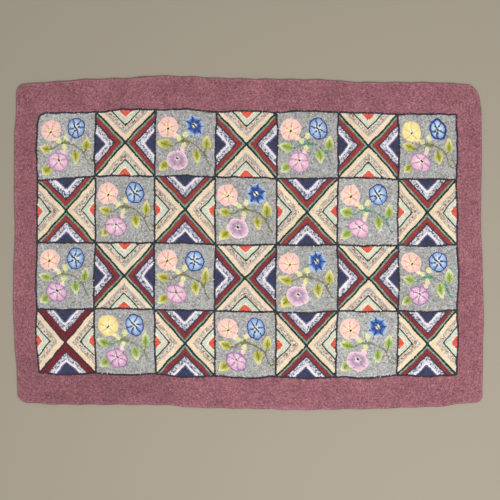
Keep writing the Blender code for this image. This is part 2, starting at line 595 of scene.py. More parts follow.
# One row for each block line: its place on the rug, and how far it strays from there, in
# mm, at every half block along it.
BlockLine = namedtuple("BlockLine", "place strays")
LEVEL_LINES = (
    BlockLine(443.0, (-3, -1, 0, 11, 8, 11, 1, 6, 0, 5, 0, -2, -6, -6, -7)),
    BlockLine(220.5, (-9, -1, 5, 8, 5, 8, 3, 2, -1, -3, 0, 0, -4, -4, -6)),
    BlockLine(-3.5, (4, 4, 4, 4, 4, 3, -2, -4, -2, -5, -3, -6, -4, -7, -3)),
    BlockLine(-229.0, (5, 2, 6, 6, 3, 1, -1, -4, -6, -8, -2, -4, -2, -5, 2)),
    BlockLine(-448.5, (8, 2, 7, 1, 4, -6, -3, -10, -5, -11, -6, -10, 0, -4, 2)))
UPRIGHT_LINES = (
    BlockLine(-715.0, (3, -5, -1, -3, -2, -6, -4, -6, 6)),
    BlockLine(-518.0, (2, -4, -2, -2, -2, -6, -7, -4, 0)),
    BlockLine(-317.0, (2, 0, -1, -1, -2, -3, -2, -1, 2)),
    BlockLine(-114.0, (6, 2, 1, 0, 2, -1, -1, 0, 0)),
    BlockLine(96.0, (0, 2, -1, 0, -1, -5, -4, -2, -4)),
    BlockLine(301.0, (3, 2, 3, 0, 0, 3, 1, -3, -5)),
    BlockLine(506.5, (0, 5, 2, 0, 0, 4, 1, 0, -4)),
    BlockLine(709.0, (-5, 0, -4, -1, -2, 3, -2, 1, -5)))
DARK_ENDS = wool((52, 51, 62), (66, 54, 72), (46, 47, 58), (40, 60, 58), (68, 52, 60),
                 (54, 50, 62), drift=0.05, fleck=0.35, tone=0.18)
LINE_PITCH = 3.1                # mm between the two rows of a line
LINE_STRAY = 0.45
DARK_ROOM = 1.9                 # mm, the least between two loops of a dark row
HAND_STRAY, HAND_WAVE = 1.0, 52.0       # mm, how far and how often any row wanders


def curve_through(values, place):
    """Reads a short list of values at any place between them, on a smooth curve."""
    values = np.asarray(values, float)
    first = np.floor(place).astype(int).clip(0, len(values) - 2)
    share = place - first
    before, after = values[(first - 1).clip(0)], values[(first + 2).clip(0, len(values) - 1)]
    start, end = values[first], values[first + 1]
    return ((2 * share ** 3 - 3 * share ** 2 + 1) * start
            + (share ** 3 - 2 * share ** 2 + share) * (end - before) / 2.0
            + (3 * share ** 2 - 2 * share ** 3) * end
            + (share ** 3 - share ** 2) * (after - start) / 2.0)


def between_lines(lines, across, along):
    """A place between block lines: across counts the lines, and along the blocks."""
    places = np.stack([each.place + curve_through(each.strays, 2.0 * along) for each in lines])
    first = np.floor(across).astype(int).clip(0, len(lines) - 2)
    before = np.take_along_axis(places, first[None], axis=0)[0]
    after = np.take_along_axis(places, first[None] + 1, axis=0)[0]
    return before + (after - before) * (across - first)


def on_panel(column, line):
    """A place on the panel, in mm, from how many columns and lines it lies from its corner."""
    column, line = np.asarray(column, float), np.asarray(line, float)
    x = between_lines(UPRIGHT_LINES, column, line)
    y = between_lines(LEVEL_LINES, line, column)
    return np.stack([x + HAND_STRAY * ripple(x, y, HAND_WAVE, 21),
                     y + HAND_STRAY * ripple(x, y, HAND_WAVE, 23)], axis=-1)


CORNER_ACROSS, CORNER_DOWN = 0.17, 0.085    # of a block, cut from the back left corner
panel_lines = []
for line in range(LINES + 1):
    start = CORNER_ACROSS if line == 0 else 0.0
    panel_lines.append(on_panel(np.linspace(start, COLUMNS, 360), np.full(360, float(line))))
for column in range(COLUMNS + 1):
    start = CORNER_DOWN if column == 0 else 0.0
    panel_lines.append(on_panel(np.full(240, float(column)), np.linspace(start, LINES, 240)))
bend = np.linspace(0.0, 0.5 * math.pi, 12)
cut_corner = on_panel(CORNER_ACROSS * (1.0 - np.sin(bend)), CORNER_DOWN * (1.0 - np.cos(bend)))
panel_lines.append(cut_corner)


def dark_line(pile, path, yarn):
    """Two rows of dark wool side by side, hooked a little unsteadily."""
    for side in (-0.5, 0.5):
        row = row_along(beside(path, side * LINE_PITCH), LOOP_PITCH, LINE_PITCH)
        row[:, :2] += chance.normal(0.0, LINE_STRAY, (len(row), 2))
        pile.hook(row, spin(yarn, len(row)), DARK_ROOM)


line_pile = Pile()
for path in panel_lines:
    dark_line(line_pile, path, DARK_ENDS)


def resampled(outline, step):
    """The same closed outline, with its points evenly spaced."""
    length, at = measured(outline, closed=True)
    return at(np.linspace(0.0, length, round(length / step), endpoint=False))


# The panel's outline, clockwise from its back left corner.
panel = resampled(np.vstack([panel_lines[0], panel_lines[LINES + 1 + COLUMNS],
                             panel_lines[LINES][::-1], panel_lines[LINES + 1][::-1],
                             cut_corner[::-1]]), 4.0)


def in_metres(loops):
    """The same loops with every length in metres."""
    loops = loops.copy()
    loops[:, [0, 1, 3, 4]] *= MM
    return loops


line_loops = in_metres(line_pile.loops())
hooked_piece("block_lines", line_loops)


# ---------------------------------------------------------------------------------------
# Crossed-stripe blocks.  Two dark green diagonals cut each one into four triangles, which
# are filled with stripes hooked parallel to the diagonals, from the outside in: two pale
# triangles round a red-orange heart, and two dark ones round a navy heart.
BLOCK_WIDTH, BLOCK_DEPTH = 203.0, 224.0
LINE_HALF = 3.0                 # mm that the block lines take of a block on each side
Stripe = namedtuple("Stripe", "wool rows pitch")
BOTTLE_GREEN = wool((30, 66, 54), (28, 40, 46), (24, 54, 46), (44, 42, 58), fleck=0.5,
                    tone=0.16)
CREAM = wool((238, 218, 182), (238, 209, 182), (236, 221, 192), drift=0.05, fleck=0.15,
             tone=0.05)
HEATHER = wool((186, 182, 182), (200, 192, 190), (174, 180, 172), (168, 162, 168), drift=0.2,
               fleck=0.8)
MIXED_TWEED = wool((190, 186, 182), (228, 218, 204), (166, 160, 154), (206, 198, 190),
                   (188, 164, 146), (176, 180, 170), drift=0.1, fleck=1.0)
BROWN_TWEED = wool((214, 202, 186), (230, 218, 200), (184, 148, 120), (206, 192, 188),
                   (190, 187, 178), (222, 186, 168), (154, 136, 102), (222, 206, 196),
                   (148, 108, 86), (228, 212, 192), drift=0.1, fleck=1.0)
PALE_EDGE = wool((244, 230, 202), (242, 214, 192), (224, 208, 184), drift=0.2, fleck=0.7)
LEAF_GREEN = wool((46, 88, 72), (38, 76, 66), (60, 106, 88), drift=0.15, fleck=0.6)
SAGE = wool((207, 213, 197), (215, 212, 201), (198, 209, 193), (219, 217, 199), drift=0.12,
            fleck=0.6, tone=0.06)
PALE_LIME = wool((236, 232, 202), (226, 228, 196), (240, 226, 200), drift=0.2, fleck=0.6)
RED_ORANGE = wool((222, 99, 80), (214, 89, 72), (229, 108, 88), fleck=0.6, tone=0.06)
SEAFOAM = wool((125, 160, 142), (145, 174, 158), (102, 141, 121), (156, 176, 163), drift=0.1,
               fleck=0.5)
BRICK_RED = wool((154, 62, 57), (143, 56, 56), (164, 70, 61), drift=0.08, fleck=0.5)
MAROON = wool((136, 53, 56), (147, 60, 60), (125, 49, 54), drift=0.08, fleck=0.5)
DEEP_MAROON = wool((118, 38, 46), (128, 42, 48), (104, 36, 44), drift=0.08, fleck=0.5)
NAVY_LINE = wool((82, 58, 74), (70, 56, 76), (92, 58, 70), fleck=0.6, tone=0.16)
BLUE_TWEED = wool((208, 208, 218), (188, 191, 205), (222, 217, 220), (106, 109, 133),
                  (199, 205, 210), (84, 88, 112), (220, 217, 222), (160, 162, 182),
                  (196, 199, 210), (132, 136, 160), drift=0.1, fleck=1.0)
WHITE = wool((240, 231, 223), (236, 226, 226), (240, 232, 216), drift=0.1, fleck=0.6,
             tone=0.06)
PERIWINKLE = wool((100, 98, 154), (84, 84, 140), (120, 124, 176), drift=0.2, fleck=0.6)
NAVY_HEART = wool((62, 60, 88), (54, 58, 76), (69, 67, 105), (54, 65, 82), drift=0.12,
                  fleck=0.6)
PALE_STRIPES = (Stripe(CREAM, 4, 3.5), Stripe(HEATHER, 2, 3.4), Stripe(BROWN_TWEED, 3, 3.2),
                Stripe(PALE_EDGE, 1, 2.0), Stripe(LEAF_GREEN, 2, 2.3), Stripe(SAGE, 3, 4.2),
                Stripe(PALE_LIME, 1, 3.8), Stripe(RED_ORANGE, 20, 3.8))
PALE_SIDEWAYS = (PALE_STRIPES[:1] + (Stripe(MIXED_TWEED, 2, 3.4),) + PALE_STRIPES[2:5]
                 + (Stripe(SAGE, 3, 4.5), Stripe(PALE_LIME, 1, 4.0)) + PALE_STRIPES[-1:])
DARK_STRIPES = (Stripe(SEAFOAM, 2, 2.6), Stripe(BRICK_RED, 4, 3.3), Stripe(NAVY_LINE, 2, 2.5),
                Stripe(BLUE_TWEED, 4, 3.35), Stripe(WHITE, 2, 3.4), Stripe(PERIWINKLE, 1, 3.8),
                Stripe(NAVY_HEART, 20, 3.8))
# The front rows were hooked after the brick red had run out, and one block has no green.
LATE_STRIPES = DARK_STRIPES[:1] + (Stripe(MAROON, 4, 3.3),) + DARK_STRIPES[2:]
ODD_STRIPES = (Stripe(DEEP_MAROON, 5, 3.4), Stripe(NAVY_LINE, 1, 2.9)) + DARK_STRIPES[3:]
ODD_BLOCK = (3, 0)
FLARE = 0.05                    # how much broader the stripes are at the tip than the ends
SHORTEST_ARM = 0.6 * LOOP_PITCH
SIDE_POINTS = 13                # along each side of a block's outline


def arm_of_stripe(half_base, half_height, distance):
    """One arm of a V-shaped row that far from the diagonal, its triangle standing on its tip.

    The triangle's base lies half_height above the tip and reaches half_base to each side.
    The arm runs from the middle line out to the base, and is None past the base.
    """
    slant = math.hypot(half_base, half_height)
    along = np.array([half_base, half_height]) / slant
    inward = np.array([-half_height, half_base]) / slant
    start = (1.0 + FLARE) * distance * half_height / half_base
    end = (half_height - LINE_HALF) * slant / half_height - distance * half_base / half_height
    if end - start < SHORTEST_ARM:
        return None
    reach = np.linspace(start, end, 24)[:, None]
    flare = 1.0 + FLARE * (1.0 - 2.0 * reach / slant)
    return reach * along + flare * distance * inward


def stripe_triangle(pile, stripes, half_base, half_height, place):
    """Fills a triangle with its stripes, and hands each arm to place() to be put right."""
    distance = LINE_PITCH
    for stripe in stripes:
        for _ in range(stripe.rows):
            arm = arm_of_stripe(half_base, half_height, distance + stripe.pitch / 2.0)
            if arm is None:
                return
            for mirror in (1.0, -1.0):
                pile.hook_along(place(arm * (mirror, 1.0)), stripe.wool,
                                Hooking(LOOP_PITCH, stripe.pitch))
            distance += stripe.pitch


def onto_rug(loops, column, line):
    """Lays a block's loops, in mm from its middle, on the rug, which pulls it out of true."""
    def lay(x, y):
        return on_panel(column + 0.5 + x / BLOCK_WIDTH, line + 0.5 - y / BLOCK_DEPTH)

    x, y, heading = loops[:, 0], loops[:, 1], loops[:, 2]
    laid = lay(x, y)
    ahead = lay(x + np.cos(heading), y + np.sin(heading)) - laid
    return np.column_stack([laid, polar(ahead)[0], loops[:, 3:]])


def block_outline(column, line):
    """The outline of a block on the rug, in mm."""
    side = np.linspace(0.0, 1.0, SIDE_POINTS + 1)[:-1]
    back, none, full = side[::-1] + side[1], np.zeros(SIDE_POINTS), np.ones(SIDE_POINTS)
    return on_panel(column + np.concatenate([side, full, back, none]),
                    line + np.concatenate([none, side, full, back]))


def within(outline, x, y):
    """Which places lie inside a closed outline."""
    result = np.zeros(len(x), bool)
    for (x0, y0), (x1, y1) in zip(outline, np.roll(outline, -1, axis=0)):
        if y0 != y1:
            crosses = (y0 > y) != (y1 > y)
            result ^= crosses & (x < x0 + (x1 - x0) * (y - y0) / (y1 - y0))
    return result


LINE_ROOM = 2.9                 # mm from a block line's loops to the first of a block


def hook_blocks(name, line, blocks):
    """One piece of the blocks in a line: rows of a column and its loops, from its middle."""
    laid, tiles = [], []
    lines = line_pile.loops()
    for number, (column, loops) in enumerate(blocks):
        outline = block_outline(column, line)
        loops = onto_rug(loops, column, line)
        clear = [not line_pile.crowded(x, y, LINE_ROOM) for x, y in loops[:, :2].tolist()]
        loops = loops[clear & within(panel, loops[:, 0], loops[:, 1])]
        loops = filled_in(loops, lines,
                          lambda x, y: within(outline, x, y) & within(panel, x, y))
        laid.append(in_metres(loops))
        tiles.append(np.full(len(loops), number))
    hooked_piece(name, np.vstack(laid), np.concatenate(tiles), (2, 2))


def striped_block(line, column):
    """The loops of one crossed-stripe block, in mm from its middle."""
    pile = Pile()
    half_x, half_y = BLOCK_WIDTH / 2.0, BLOCK_DEPTH / 2.0
    corner_x, corner_y = half_x - LINE_HALF, half_y - LINE_HALF
    odd = (line, column) == ODD_BLOCK
    for mirror in (1.0, -1.0):
        end = np.array([corner_x * mirror, corner_y])
        dark_line(pile, np.linspace(-end, end, 40), DARK_ENDS if odd else BOTTLE_GREEN)
    dark = ODD_STRIPES if odd else DARK_STRIPES if line < 2 else LATE_STRIPES
    upright, sideways = (PALE_STRIPES, dark) if line % 2 == 0 else (dark, PALE_SIDEWAYS)
    for sign in (1.0, -1.0):
        stripe_triangle(pile, upright, half_x, half_y, lambda arm: arm * (1.0, sign))
        stripe_triangle(pile, sideways, half_y, half_x, lambda arm: arm[:, ::-1] * (sign, 1.0))
    return pile.loops()


for line in range(LINES):
    hook_blocks(f"striped_blocks_{line + 1}", line,
                [(column, striped_block(line, column)) for column in range(COLUMNS)
                 if (line + column) % 2 == 1])


# ---------------------------------------------------------------------------------------
# Morning-glory blocks.  Each shows three open flowers, four leaves and a vine on a ground of
# odd greys.  The outlines, ribs and vine are hooked first, then the petals in rings round
# the throat, and last the ground: one row round each shape, and level rows for the rest.

# Petals and arms both run from the throat to the rim, arms along the ribs.  Spread is how
# far an arm reaches to each side of its rib, in mm, and lobe how far the rim is drawn out.
Bloom = namedtuple("Bloom", "rim petals arms ribs eye spread rib_count rim_rows lobe rib_rows",
                   defaults=(1, -0.03, 1))
Spot = namedtuple("Spot", "x y wide high tilt")     # half sizes, in mm and degrees
# Its place from the flower's middle, and its slit: the slant in degrees and half the length.
Throat = namedtuple("Throat", "x y slash long")
Leaf = namedtuple("Leaf", "base tip wide")


def petal(*dyes):
    """A smooth wool, for shading a petal or a leaf from one dye to the next."""
    return wool(*dyes, fleck=0.0, tone=0.06)


PEACH = Bloom(
    rim=petal((248, 208, 198), (244, 200, 190), (249, 214, 204)),
    petals=petal((250, 236, 190), (250, 232, 192), (250, 216, 200), (248, 206, 196),
                 (248, 204, 196)),
    arms=petal((248, 224, 184), (244, 202, 178), (243, 192, 174), (243, 192, 180)),
    ribs=petal((226, 158, 142), (234, 170, 154)), eye=petal((42, 32, 29)), spread=3.0,
    rib_count=6)
BUTTER = Bloom(
    rim=petal((236, 212, 148), (242, 218, 160)),
    petals=petal((240, 238, 208), (244, 240, 200), (246, 234, 172), (244, 226, 154),
                 (242, 218, 150)),
    arms=petal((238, 230, 184), (242, 226, 164), (240, 218, 146), (238, 212, 136),
               (236, 208, 138)),
    ribs=petal((234, 210, 140), (238, 214, 148)), eye=petal((64, 48, 32)), spread=3.6,
    rib_count=5)
ROUND_BLUE = Bloom(
    rim=wool((52, 68, 122), (66, 86, 150), (46, 58, 106), fleck=0.5),
    petals=petal((240, 240, 232), (240, 240, 232), (204, 220, 230), (174, 198, 226),
                 (146, 172, 214), (104, 132, 190)),
    arms=petal((236, 238, 232), (222, 228, 230), (140, 164, 208), (112, 138, 192),
               (92, 116, 178), (74, 96, 158)),
    ribs=wool((44, 54, 92), (54, 68, 112)), eye=petal((40, 46, 60)), spread=3.6, rib_count=6,
    rib_rows=2)
RUFFLED_BLUE = Bloom(
    rim=wool((46, 60, 120), (62, 80, 150), (42, 52, 100), fleck=0.6),
    petals=petal((242, 238, 218), (236, 236, 222), (192, 212, 230), (150, 180, 220),
                 (118, 146, 204)),
    arms=petal((230, 228, 216), (160, 180, 208), (108, 136, 194), (76, 100, 170),
               (58, 80, 150)),
    ribs=wool((44, 54, 106), (42, 50, 94)), eye=petal((38, 42, 58)), spread=4.4, rib_count=5,
    rim_rows=2, lobe=-0.05, rib_rows=2)
STAR_BLUE = Bloom(
    rim=petal((188, 212, 236)),
    petals=petal((246, 244, 218), (244, 240, 210), (74, 102, 164), (60, 94, 164),
                 (84, 120, 182), (156, 184, 214), (192, 208, 224)),
    arms=petal((246, 244, 218), (244, 240, 210), (54, 82, 152), (46, 76, 148), (46, 74, 146),
               (58, 86, 154), (84, 110, 168)),
    ribs=wool((46, 68, 134), (54, 78, 144)), eye=petal((36, 38, 44)), spread=6.5, rib_count=7,
    rim_rows=0, lobe=0.05)
PURPLE_PINK = Bloom(
    rim=petal((178, 142, 178), (192, 154, 188), (170, 134, 172)),
    petals=petal((250, 244, 222), (248, 234, 222), (242, 208, 214), (234, 190, 208),
                 (214, 168, 200)),
    arms=petal((242, 230, 216), (234, 202, 212), (226, 184, 204), (216, 172, 198),
               (204, 162, 192)),
    ribs=petal((190, 142, 178), (180, 132, 170)), eye=petal((46, 36, 42)), spread=5.4,
    rib_count=5)
VIOLET = Bloom(
    rim=petal((158, 120, 168), (172, 134, 180), (150, 114, 160)),
    petals=petal((250, 242, 220), (246, 228, 222), (236, 202, 214), (222, 182, 206),
                 (196, 154, 192)),
    arms=petal((240, 228, 216), (226, 192, 208), (212, 172, 202), (198, 156, 192),
               (184, 146, 184)),
    ribs=petal((172, 124, 170), (162, 116, 162)), eye=petal((44, 34, 46)), spread=5.2,
    rib_count=6)
LAVENDER = Bloom(
    rim=petal((240, 214, 220), (234, 204, 214), (242, 218, 222)),
    petals=petal((246, 242, 226), (240, 234, 222), (188, 160, 178), (186, 152, 178),
                 (210, 176, 198), (232, 198, 210), (239, 210, 217)),
    arms=petal((242, 238, 222), (220, 208, 212), (166, 140, 170), (172, 142, 178),
               (192, 162, 194), (216, 184, 204), (226, 196, 210)),
    ribs=petal((170, 140, 176), (180, 150, 184)), eye=petal((40, 33, 40)), spread=3.0,
    rib_count=5, lobe=-0.05)

FIRST_SPOT, FIRST_THROAT = Spot(-57.5, 54.0, 34.0, 35.5, 0.0), Throat(1.0, -5.5, 48.0, 4.5)
SECOND_SPOT, SECOND_THROAT = Spot(34.0, 57.0, 31.0, 36.0, 12.0), Throat(-2.0, 1.0, -50.0, 7.5)
THIRD_SPOT, THIRD_THROAT = Spot(-28.0, -57.0, 37.5, 31.0, -25.0), Throat(2.0, 5.5, -38.0, 5.0)
LEAVES = (Leaf((-50.0, -9.0), (-93.0, 4.0), 31.0), Leaf((71.0, -18.0), (74.0, 33.0), 30.0),
          Leaf((35.0, -18.0), (43.0, -66.0), 28.0), Leaf((-58.0, -65.0), (-87.0, -92.0), 33.0))
VINE = ((-53.0, -10.0), (-40.0, -8.0), (-26.0, 1.0), (-12.0, 6.0), (2.0, 6.0), (16.0, 3.0),
        (30.0, -2.0), (44.0, -11.0), (56.0, -21.0), (66.0, -35.0), (72.0, -50.0),
        (79.0, -64.0), (87.0, -71.0), (95.0, -70.0), (99.0, -65.0))
TENDRIL = ((97.0, -61.0), (92.0, -52.0), (86.0, -45.0))
LEAF_STEM = ((66.0, -31.0), (67.0, -24.0), (71.0, -17.0))
BUD_STEM = ((-4.0, 9.0), (-2.0, 17.0))
PALE_GREEN = wool((228, 224, 164), (238, 230, 182), (214, 216, 148), fleck=0.5, tone=0.06)
PALE_NECK = wool((248, 230, 200), (251, 216, 196), fleck=0.5, tone=0.06)
BUTTER_NECK = wool((246, 234, 176), (244, 226, 160), fleck=0.5, tone=0.06)
PINK_NECK = wool((246, 200, 210), (249, 216, 212), fleck=0.5, tone=0.06)
BLUE_NECK = wool((190, 204, 224), (172, 188, 220), fleck=0.5, tone=0.06)
Bit = namedtuple("Bit", "spot wool")
BITS = (Bit(Spot(1.0, 28.0, 8.5, 10.5, 0.0), PALE_GREEN),
        Bit(Spot(-23.0, 15.5, 10.0, 7.5, -38.0), PALE_GREEN),
        Bit(Spot(-36.0, 25.0, 8.0, 8.5, -38.0), PALE_NECK),
        Bit(Spot(-5.0, -9.0, 8.0, 10.0, 0.0), PALE_GREEN),
        Bit(Spot(-10.0, -24.0, 7.5, 9.0, 20.0), PINK_NECK),
        Bit(Spot(10.0, 32.0, 7.5, 8.0, 0.0), BLUE_NECK))

Green = namedtuple("Green", "vine leaf")
OLIVE = Green(wool((130, 128, 70), (120, 120, 64), (142, 140, 86), fleck=0.5),
              petal((116, 116, 44), (146, 145, 56), (180, 178, 80), (206, 202, 116),
                    (226, 220, 158)))
FRESH = Green(wool((134, 148, 100), (122, 138, 94), (146, 158, 118), fleck=0.5),
              petal((100, 124, 60), (128, 152, 74), (156, 178, 94), (188, 200, 126),
                    (226, 224, 182)))
TEAL = Green(wool((84, 150, 126), (100, 162, 140), (76, 136, 110), (132, 180, 160), fleck=0.6),
             petal((110, 132, 62), (136, 158, 76), (162, 180, 94), (192, 202, 128),
                   (226, 226, 184)))
ODD_GREYS = wool((170, 168, 165), (160, 167, 158), (180, 172, 174), (173, 173, 170),
                 (184, 180, 174), (152, 152, 151), (176, 182, 178), (164, 155, 159),
                 (168, 173, 176), (174, 167, 158), drift=0.4, fleck=0.95, tone=0.19)

# One row for each block: its flowers, its greens, and how pale its ground is.
FlowerBlock = namedtuple("FlowerBlock", "line column first second third green pale")
FLOWER_BLOCKS = (
    FlowerBlock(0, 0, PEACH, ROUND_BLUE, PURPLE_PINK, OLIVE, 1.12),
    FlowerBlock(0, 2, PEACH, STAR_BLUE, LAVENDER, OLIVE, 1.00),
    FlowerBlock(0, 4, PEACH, ROUND_BLUE, PURPLE_PINK, TEAL, 0.98),
    FlowerBlock(0, 6, BUTTER, RUFFLED_BLUE, PURPLE_PINK, OLIVE, 1.00),
    FlowerBlock(1, 1, PEACH, ROUND_BLUE, PURPLE_PINK, OLIVE, 1.00),
    FlowerBlock(1, 3, PEACH, STAR_BLUE, LAVENDER, OLIVE, 1.00),
    FlowerBlock(1, 5, PEACH, ROUND_BLUE, PURPLE_PINK, TEAL, 1.04),
    FlowerBlock(2, 0, PEACH, ROUND_BLUE, VIOLET, FRESH, 1.00),
    FlowerBlock(2, 2, PEACH, ROUND_BLUE, PURPLE_PINK, OLIVE, 1.02),
    FlowerBlock(2, 4, PEACH, STAR_BLUE, LAVENDER, OLIVE, 1.00),
    FlowerBlock(2, 6, PEACH, ROUND_BLUE, VIOLET, TEAL, 1.00),
    FlowerBlock(3, 1, BUTTER, ROUND_BLUE, VIOLET, FRESH, 1.00),
    FlowerBlock(3, 3, PEACH, ROUND_BLUE, VIOLET, OLIVE, 1.02),
    FlowerBlock(3, 5, PEACH, STAR_BLUE, LAVENDER, FRESH, 1.12))
FILLING = Hooking(LOOP_PITCH, ROW_PITCH, 3.1)
SLIT, SLIT_SIDE = Hooking(3.4, 3.6, 1.6), 0.9       # its two rows, that far from its middle
RIB, RIB_SIDE = Hooking(3.6, 2.8, 2.1), 2.3         # from a rib's first row to its second
MIDRIB = Hooking(3.8, 2.8, 2.3)
STEM = Hooking(4.0, 2.7, 2.4)
TUCKED = 2.7                    # mm, the room of a loop tucked in among others of its shape
TUCK_STEP = 1.1                 # mm between the places where one may be tucked in
RING_STEP = 0.82 * ROW_PITCH
RIB_PLACES = (0.22, 0.6, 0.95)  # where a rib starts, bends and ends, from throat to rim
RIB_BOW = 0.12                  # how far it bends, as a share of its length
RIB_STRAY = 0.08                # radians off its even place round the throat
ARM_STRAY, ARM_TAPER = 0.7, 1.15        # mm, and the arm's end as a share of the flower
LEAF_MIDDLE, MIDRIB_END = 0.40, 0.7     # from a leaf's base to its tip
LEAF_SHOULDER, LEAF_FULLNESS = 0.66, 0.8        # the less, the broader near the base
LEAF_START, TO_EDGE, TO_TIP = 0.14, 0.72, 0.55  # a leaf's place in its dyes, and how it pales
PLACE_STRAY, TILT_STRAY = 1.6, 5.0      # mm and degrees, from one block to the next
SIZE_STRAY = (0.95, 1.04)
LEAF_SWAY, VINE_SWAY = 1.3, 1.2         # mm
# How the level rows of the ground wave: mm, and the length of a wave across and up.
LEVEL_WAVES = ((0.8, 24.0, 31.0), (0.6, 11.0, -17.0))
OVERLAP = (1.0, 0.6)            # mm that the ground may reach past its last rows
CURLING = 0.4                   # the share of vines that end in a tendril


def smooth_path(points):
    """A smooth path through the points."""
    points = np.asarray(points, float)
    place = np.linspace(0.0, len(points) - 1.0, 10 * len(points))
    return np.stack([curve_through(values, place) for values in points.T], axis=1)


def oval(spot, grow=0.0, lobe=0.0, lobes=5, first=0.0):
    """A closed outline, anticlockwise, drawn out to a point at each lobe, or notched there."""
    turn = np.linspace(0.0, 2.0 * math.pi, 91)[:-1]
    reach = 1.0 + lobe * (1.0 - 2.0 * np.abs(np.sin(0.5 * lobes * (turn - first))))
    across = (spot.wide * reach + grow) * np.cos(turn)
    up = (spot.high * reach + grow) * np.sin(turn)
    tilt = math.radians(spot.tilt)
    return np.stack([spot.x + across * math.cos(tilt) - up * math.sin(tilt),
                     spot.y + across * math.sin(tilt) + up * math.cos(tilt)], axis=1)


def leaf_outline(leaf, grow=0.0):
    """A heart-shaped leaf, anticlockwise from its base, widest near the base."""
    base, tip = np.array(leaf.base), np.array(leaf.tip)
    length = np.hypot(*(tip - base))
    along = (tip - base) / length
    side = np.array([-along[1], along[0]])
    run = np.linspace(0.0, 1.0, 22)
    half = (leaf.wide / 2.0) * np.sin(math.pi * run ** LEAF_SHOULDER) ** LEAF_FULLNESS
    right = base + np.outer(run * length, along) - np.outer(half, side)
    left = base + np.outer(run * length, along) + np.outer(half, side)
    outline = np.vstack([right, left[-2:0:-1]])
    middle = outline.mean(axis=0)
    reach = polar(outline - middle)[1][:, None]
    return middle + (outline - middle) * (1.0 + grow / reach)


def share_out(outline, middle, places):
    """How far out each place lies: nought at the middle, and one on the outline."""
    turn, away = polar(places - middle)
    reach = np.interp(turn, *polar(outline - middle), period=2.0 * math.pi)
    return (away / reach).clip(0.0, 1.0)


def rings(pile, outline, middle, wool_at, start):
    """Fills an outline with rings of loops from the rim inwards, then with odd loops."""
    reach = polar(outline - middle)[1].mean()
    inset = start
    while inset < reach:
        share = 1.0 - inset / reach
        row = row_along(middle + (outline - middle) * share,
                        min(LOOP_PITCH, 2.0 * share * reach), ROW_PITCH, closed=True)
        row[:, 3] = LOOP_PITCH
        pile.hook(row, wool_at(row), FILLING.room)
        inset += RING_STEP
    places = np.stack(grid_between(outline.min(axis=0), outline.max(axis=0), TUCK_STEP), axis=1)
    places = places[within(middle + (outline - middle) * (1.0 - 1.5 / reach), *places.T)]
    count = len(places)
    row = np.column_stack([places, chance.uniform(0.0, math.pi, count),
                           np.full(count, LOOP_PITCH), np.full(count, ROW_PITCH)])
    pile.hook(row, wool_at(row), TUCKED)


def hook_bloom(pile, bloom, spot, throat):
    """One open flower, seen face on, its ribs running from the throat to the rim."""
    first = chance.uniform(0.0, 2.0 * math.pi)
    lobes = {"lobe": bloom.lobe, "lobes": bloom.rib_count, "first": first}
    outline = oval(spot, **lobes)
    heart = np.array([spot.x + throat.x, spot.y + throat.y])
    centre = np.array([spot.x, spot.y])
    reach = polar(outline - centre)[1][:, None]
    for rim_row in range(bloom.rim_rows):
        inset = (rim_row + 0.5) * ROW_PITCH
        ring = centre + (outline - centre) * (1.0 - inset / reach)
        pile.hook_along(ring, bloom.rim, FILLING, closed=True)
    slash = np.radians(throat.slash)
    reach_of_slash = throat.long * np.array([math.cos(slash), math.sin(slash)])
    for side in (-SLIT_SIDE, SLIT_SIDE):
        slit = beside([heart - reach_of_slash, heart + reach_of_slash], side)
        pile.hook_along(slit, bloom.eye, SLIT)
    rib_ends = []
    for rib in range(bloom.rib_count):
        turn = first + 2.0 * math.pi * rib / bloom.rib_count + chance.normal(0.0, RIB_STRAY)
        end = outline[int(turn / (2.0 * math.pi) * len(outline)) % len(outline)]
        away = end - heart
        bow = chance.uniform(-RIB_BOW, RIB_BOW) * np.array([-away[1], away[0]])
        start, bend, stop = (heart + share * away for share in RIB_PLACES)
        path = smooth_path([start, bend + bow, stop])
        pile.hook_along(path, bloom.ribs, RIB)
        if bloom.rib_rows == 2:
            pile.hook_along(beside(path[:11], RIB_SIDE), bloom.ribs, RIB)
        rib_ends.append(away)
    rib_turns = polar(np.array(rib_ends))[0]

    def petal_wool(row):
        turn, away = polar(row[:, :2] - heart)
        near = np.cos(turn[:, None] - rib_turns[None, :]).max(axis=1).clip(0.0, 1.0)
        off = away * np.sqrt(1.0 - near ** 2)
        out = share_out(outline, heart, row[:, :2])
        stray = chance.normal(0.0, ARM_STRAY, len(row))
        in_arm = off + stray < bloom.spread * (ARM_TAPER - out)
        return np.where(in_arm[:, None], dyed(bloom.arms, out), dyed(bloom.petals, out))

    rings(pile, outline, heart, petal_wool, (bloom.rim_rows + 0.5) * ROW_PITCH)
    return oval(spot, grow=0.5 * ROW_PITCH, **lobes)


def hook_leaf(pile, leaf, green):
    """One leaf, dark along its midrib and paler out to its edge and its tip."""
    outline = leaf_outline(leaf)
    base, tip = np.array(leaf.base), np.array(leaf.tip)
    middle = base + LEAF_MIDDLE * (tip - base)
    midrib = row_along([base, base + MIDRIB_END * (tip - base)], MIDRIB.spacing, MIDRIB.width)
    pile.hook(midrib, dyed(green.leaf, np.linspace(0.04, 0.22, len(midrib))), MIDRIB.room)

    def leaf_wool(row):
        away = row[:, :2] - middle
        to_tip = away @ (tip - base) / ((tip - base) @ (tip - base))
        to_edge = share_out(outline, middle, row[:, :2])
        place = TO_EDGE * to_edge + TO_TIP * to_tip + LEAF_START
        return dyed(green.leaf, (place + chance.normal(0.0, 0.05, len(row))).clip(0.1, 1.0))

    rings(pile, outline, middle, leaf_wool, 0.5 * ROW_PITCH)
    return leaf_outline(leaf, grow=0.5 * ROW_PITCH)


